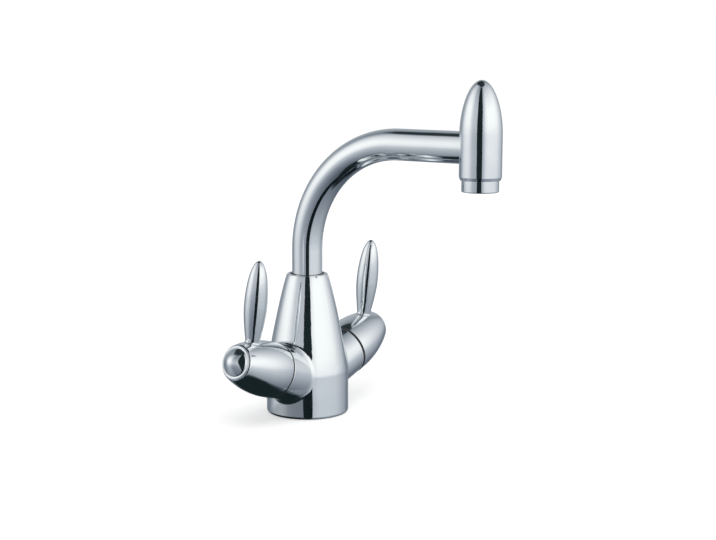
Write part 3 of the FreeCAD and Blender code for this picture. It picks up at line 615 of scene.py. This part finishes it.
def turned(name, bright, dull, axis, centre):
    """Lathe-turned metal with fine rings about an axis through a centre."""
    material, tree, shader, where = new_finish(name, 1.0, bright, sum(TURNED_ROUGH) / 2)
    centred = add_node(tree, "VectorMath", {0: where, 1: centre}, operation="SUBTRACT").outputs[0]
    with_axis = {0: centred, 1: axis}
    along = add_node(tree, "VectorMath", with_axis, operation="DOT_PRODUCT").outputs[1]
    across = add_node(tree, "VectorMath", with_axis, operation="CROSS_PRODUCT").outputs[0]
    from_axis = add_node(tree, "VectorMath", {0: across}, operation="LENGTH").outputs[1]
    ring_place = maths(tree, "ADD", along, from_axis)
    ringed_noise = {"W": ring_place, **RINGS}
    rings = add_node(tree, "TexNoise", ringed_noise, noise_dimensions="1D").outputs[0]
    tarnish = spread(tree, noise(tree, where, *TARNISH), 0.0, TARNISH_MOST)
    put(tree, shader.inputs["Base Color"], mix_colour(tree, tarnish, (*bright, 1), (*dull, 1)))
    put(tree, shader.inputs["Roughness"], spread(tree, rings, *TURNED_ROUGH))
    bumped(tree, shader, rings, RING_DEPTH)
    return material


turned_brass = {side: turned(side + "_turned_brass", BRASS, BRASS_DULL, axis, hub_centre)
                for side, axis in hub_axes.items()}
turned_brass["spout"] = turned("upright_turned_brass", BRASS, BRASS_DULL, UPRIGHT, (0, 0, 0))
turned_steel = {side: turned(side + "_turned_steel", STEEL, STEEL_DULL, axis, hub_centre)
                for side, axis in hub_axes.items()}
turned_steel["spout"] = turned("cross_turned_steel", STEEL, STEEL_DULL, *SPOUT_SCREW)
print("turned finishes:", len(turned_brass) + len(turned_steel))

# %% [markdown]
# ## Rubber, ceramic and plastics
#
# These four aren't metal, so the shader's mirror is weak and the colour counts. What
# tells them apart is small: rubber is black with a grey bloom and a soft sheen,
# the lapped ceramic is ivory and glassy with tiny pores, the dark bearing plastic has the
# grain of its mould, and the white one shows faint flow marks. One recipe covers them:
# two colours mixed by slow noise, a band of roughness, and a fine bump.

# %% Moulded finishes
PATCH_NOISE = (4.0, 0.6)        # detail and roughness
GRAIN_NOISE = (3.0, 0.6)


def moulded(name, first, second, rough_band, patch, grain, depth, **sockets):
    """Two colours in soft patches, a band of roughness, and a fine grain of some depth."""
    material, tree, shader, where = new_finish(name, 0.0, first, rough_band[0], **sockets)
    patches = spread(tree, noise(tree, where, patch, *PATCH_NOISE), 0.0, 1.0)
    grains = noise(tree, where, grain, *GRAIN_NOISE)
    put(tree, shader.inputs["Base Color"],
        mix_colour(tree, patches, (*first, 1), (*second, 1)))
    put(tree, shader.inputs["Roughness"], spread(tree, grains, *rough_band))
    bumped(tree, shader, grains, depth)
    return material


rubber = moulded("moulded_rubber", (0.020, 0.020, 0.021), (0.050, 0.050, 0.048),
                 rough_band=(0.50, 0.68), patch=220.0, grain=2200.0, depth=0.00004,
                 Specular_IOR_Level=0.35)
ceramic = moulded("lapped_ceramic", (0.88, 0.865, 0.815), (0.82, 0.80, 0.745),
                  rough_band=(0.14, 0.26), patch=420.0, grain=3200.0, depth=0.00001,
                  Specular_IOR_Level=0.55)
dark_plastic = moulded("bearing_plastic", (0.022, 0.022, 0.025), (0.040, 0.040, 0.044),
                       rough_band=(0.38, 0.52), patch=300.0, grain=2600.0, depth=0.00003)
white_plastic = moulded("white_plastic", (0.80, 0.81, 0.80), (0.73, 0.745, 0.735),
                        rough_band=(0.34, 0.46), patch=260.0, grain=1900.0, depth=0.00002)
print("moulded finishes:", [m.name for m in (rubber, ceramic, dark_plastic, white_plastic)])

# %% [markdown]
# ## Which finish goes where
#
# The CAD record names a material slot for each node, so no list of parts is repeated
# here. A node's name starts with its side, which picks the right lathe axis.

# %% Put the finishes on
PLAIN = {"rubber": rubber, "ceramic": ceramic, "dark_plastic": dark_plastic,
         "white_plastic": white_plastic}
TURNED = {"brass": turned_brass, "steel": turned_steel}


def finish_for(node_name, slot):
    """The finish of a CAD node, from its slot in the record and the side it belongs to."""
    if slot == "chrome":
        return plated_casting if node_name == "body_casting" else chrome
    if slot in TURNED:
        side = node_name.split("_")[0]
        return TURNED[slot].get(side, TURNED[slot]["spout"])
    return PLAIN[slot]


slots = {part["node"]: part["material_slot"] for part in frame["record"]["subparts"]}
for name, node in frame["nodes"].items():
    node.data.materials.clear()
    node.data.materials.append(finish_for(name, slots[name]))
print("finished nodes:", len(slots))

# %% [markdown]
# ## End caps
#
# Each handle ends in a polished cap that hides the handle's screw. It isn't a plain
# slice of a ball: its crown is round, its flank is nearly straight where it faces
# sideways, and a thin rolled rim lies on the handle's end. The long dark image of the card
# lies on that flank. A profile drawn as heights would hide this, so it's drawn by how fast it
# turns: the angle of the surface is given along the profile's length, and the running
# sums of its cosine and sine are the radius and the drop.

# %% Surfaces of revolution
SHARP_EDGE = math.radians(35)


def outward(made):
    """Turn all faces of a closed mesh outwards and mark its real edges as sharp."""
    shell = bmesh.new()
    shell.from_mesh(made.data)
    bmesh.ops.recalc_face_normals(shell, faces=shell.faces)
    shell.to_mesh(made.data)
    shell.free()
    made.data.set_sharp_from_angle(angle=SHARP_EDGE)


def revolved(profile, sides):
    """Points and faces of (radius, height) rows turned about an axis; both ends lie on it."""
    angle = np.linspace(0, 2 * np.pi, sides, endpoint=False)
    radius, height = profile[1:-1, :1], profile[1:-1, 1:]
    rings = np.stack((radius * np.cos(angle), radius * np.sin(angle), height + 0 * angle), axis=-1)
    ends = np.array([[0, 0, profile[0, 1]], [0, 0, profile[-1, 1]]])
    points = np.vstack((rings.reshape(-1, 3), ends))
    ring = np.arange(sides)
    after = (ring + 1) % sides
    first, last = len(points) - 2, len(points) - 1
    start = len(points) - 2 - sides
    fans = [np.stack((np.full(sides, first), after, ring), axis=-1),
            np.stack((np.full(sides, last), start + ring, start + after), axis=-1)]
    faces = grid_faces(len(profile) - 2, sides, closed_columns=True).tolist()
    return points, faces + np.vstack(fans).tolist()


def placed(points, centre, axis):
    """Lay a shape drawn about the upright axis along another axis through a centre."""
    upright = np.array(Vector(UPRIGHT).rotation_difference(Vector(axis)).to_matrix())
    return points @ upright.T + np.array(centre)


print("a turned shape with 5 rows and 8 sides has", len(revolved(np.zeros((5, 2)), 8)[1]), "faces")

# %% Caps
CAP_SEAT = 0.08712              # along the hub's axis, from where the two hubs meet
CAP_CROWN = 0.0942
CAP_DOME = (0.0101, 0.0884)     # radius and place of the dome's edge
CAP_RIM = (0.01095, 0.08823)    # middle of the rolled rim: radius, place
CAP_RIM_HALF = (0.00070, 0.00035)
CAP_NECK = 0.01002              # fits the recess in the handle's end
CAP_SKIRT = (0.0080, 0.00935, 0.0066)   # inner and outer radius, and depth
CAP_WALL = 0.0016
CAP_TURNING = (                 # millimetres along the profile, angle of the surface
    (0.0, 0.0), (4.4, 34.0), (10.2, 44.0), (11.8, 66.0))
CAP_RIM_SWING = (25, 180)       # degrees round the rim, from the dome to the handle's end
DOME_STEPS = 80
RIM_STEPS = 22
CEILING_STEPS = 24
CAP_SIDES = 128


def cap_profile():
    """Dome by its turning angle, a rolled rim, the neck and skirt, and the hollow inside."""
    length, turning = np.array(CAP_TURNING).T
    along_profile = np.linspace(0, length[-1], DOME_STEPS)
    angle = np.radians(np.interp(along_profile, length, turning))
    middle = (angle[1:] + angle[:-1]) / 2
    radius = np.concatenate(([0], np.cumsum(np.cos(middle))))
    drop = np.concatenate(([0], np.cumsum(np.sin(middle))))
    radius *= CAP_DOME[0] / radius[-1]
    drop *= (CAP_CROWN - CAP_DOME[1]) / drop[-1]
    dome = np.stack((radius, CAP_CROWN - drop), axis=-1)
    swing = np.radians(np.linspace(*CAP_RIM_SWING, RIM_STEPS))
    rim = np.stack((CAP_RIM[0] - CAP_RIM_HALF[0] * np.cos(swing),
                    CAP_RIM[1] + CAP_RIM_HALF[1] * np.sin(swing)), axis=-1)
    inner, outer, depth = CAP_SKIRT
    edges = np.array([(CAP_NECK, CAP_RIM[1]), (CAP_NECK, CAP_SEAT), (outer, CAP_SEAT),
                      (outer, CAP_SEAT - depth), (inner, CAP_SEAT - depth)])
    swing = np.linspace(0, np.pi / 2, CEILING_STEPS)
    ceiling = np.stack((inner * np.cos(swing),
                        CAP_SEAT + (CAP_CROWN - CAP_WALL - CAP_SEAT) * np.sin(swing)), axis=-1)
    ceiling[-1, 0] = 0.0
    return np.vstack((dome, rim, edges, ceiling))


for side, axis in hub_axes.items():
    points, faces = revolved(cap_profile(), CAP_SIDES)
    cap = mesh_object(side + "_polished_cap", placed(points, hub_centre, axis), faces, chrome)
    outward(cap)
    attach(cap, side + "_handle")
    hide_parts(side + "_end_cap")
    print(cap.name, len(cap.data.polygons), "faces")

# %% [markdown]
# ## Wiper rings
# ## Dark lips that paint the joints' shade
# Where a handle turns against its stub there is a narrow gap. A black rubber lip in it
# stands in for the joint's shade: it is a dark ring painted where the gap and the step
# between handle and stub lie in shade. The lip lies against the handle's side of the gap and
# wraps round its rounded edge, so it shows as a bold black line from the column's side and
# only as a hairline from the handle's end. Its section is a thin sickle: an arc that follows
# the edge, and a second one that starts thicker and closes on the first. Both run on a little
# way along the handle. The section is carried once round the hub's axis.

# %% Dark lips painting the joints' shade
EDGE_CENTRE = (0.0189, 0.0463)  # middle of the handle's rounded edge: radius, place
EDGE_RADIUS = 0.0007
LIP_THICK = 0.00055
LIP_THIN = 0.00004
LIP_FOOT = 0.0176               # inner radius, next to the glide ring
LIP_REACH = 0.0006              # how far the lip runs on along the handle
LIP_STEPS = 12
LIP_SIDES = 160


def lip_section():
    """A quarter arc just off the edge and one that starts thicker, both run on along the handle."""
    around = np.linspace(0, 1, LIP_STEPS)
    near = EDGE_RADIUS + LIP_THIN
    far = near + LIP_THIN + LIP_THICK * (1 - around ** 3)

    def on_arc(reach):
        swing = np.pi / 2 * around
        arc = np.stack((EDGE_CENTRE[0] + reach * np.sin(swing),
                        EDGE_CENTRE[1] - reach * np.cos(swing)), axis=-1)
        return np.vstack((arc, arc[-1] + (0, LIP_REACH)))

    foot = np.array([(LIP_FOOT, EDGE_CENTRE[1] - near), (LIP_FOOT, EDGE_CENTRE[1] - far[0])])
    return np.vstack((on_arc(near)[::-1], foot, on_arc(far)))


def ringed(section, sides):
    """Points and faces of a closed (radius, height) section turned once about an axis."""
    angle = np.linspace(0, 2 * np.pi, sides, endpoint=False)
    radius, height = section[:, :1], section[:, 1:]
    points = np.stack((radius * np.cos(angle), radius * np.sin(angle), height + 0 * angle), axis=-1)
    return points.reshape(-1, 3), grid_faces(len(section), sides, True, True)


for side, axis in hub_axes.items():
    points, faces = ringed(lip_section(), LIP_SIDES)
    # A black lip that paints the shade in the joint between handle and stub.
    shade_lip = mesh_object(side + "_joint_shade_lip", placed(points, hub_centre, axis), faces, rubber)
    outward(shade_lip)
    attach(shade_lip, side + "_handle")
    print(shade_lip.name, len(faces), "faces")

# %% [markdown]
# ## Screw threads under the foot
#
# The two hose ports and the hole for the fixing stud are tapped, and their threads catch
# the light from below. A thread is a tube whose radius follows a triangle wave: the wave
# runs on by one pitch for each turn, so the ridge climbs as a screw. It fades out at both
# ends, and a plain outer wall closes the shell against the bore.

# %% Threads
THREADS = (                     # name, place, core radius, depth of the hole, pitch
    ("hot_port_thread", (-0.010, 0.0, 0.0), 0.00444, 0.0118, 0.0010),
    ("cold_port_thread", (0.010, 0.0, 0.0), 0.00444, 0.0118, 0.0010),
    ("stud_thread", (0.0, 0.0115, 0.0), 0.00330, 0.0138, 0.00125))
THREAD_START = 0.0004
THREAD_DEPTH = 0.45             # as a share of the pitch
THREAD_PLAY = 0.05              # between the thread's root and the bore, as a share too
ROWS_PER_PITCH = 8
THREAD_SIDES = 64


def threaded_lining(radius, length, pitch):
    """Radius = wall less a triangle wave of (height / pitch - turns), fading at both ends."""
    rows = int(length / pitch * ROWS_PER_PITCH)
    height = np.linspace(THREAD_START, length, rows)[:, None]
    angle = np.linspace(0, 2 * np.pi, THREAD_SIDES, endpoint=False)[None, :]
    phase = (height / pitch - angle / (2 * np.pi)) % 1
    ridge = 1 - np.abs(2 * phase - 1)
    fade = np.clip(np.minimum(height - THREAD_START, length - height) / pitch, 0, 1)
    inner = radius - pitch * (THREAD_PLAY + THREAD_DEPTH * ridge * fade)
    outer = np.full((2, THREAD_SIDES), radius)
    ends = np.full((2, THREAD_SIDES), ((length,), (THREAD_START,)))
    levels = np.vstack((height + 0 * angle, ends))
    across = np.vstack((inner, outer))
    points = np.stack((across * np.cos(angle), across * np.sin(angle), levels), axis=-1)
    return points.reshape(-1, 3), grid_faces(rows + 2, THREAD_SIDES, True, True)


for name, spot, radius, length, pitch in THREADS:
    points, faces = threaded_lining(radius, length, pitch)
    thread = mesh_object(name, points + np.array(spot), faces, turned_brass["spout"])
    outward(thread)
    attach(thread, "body")
    print(name, len(thread.data.polygons), "faces")
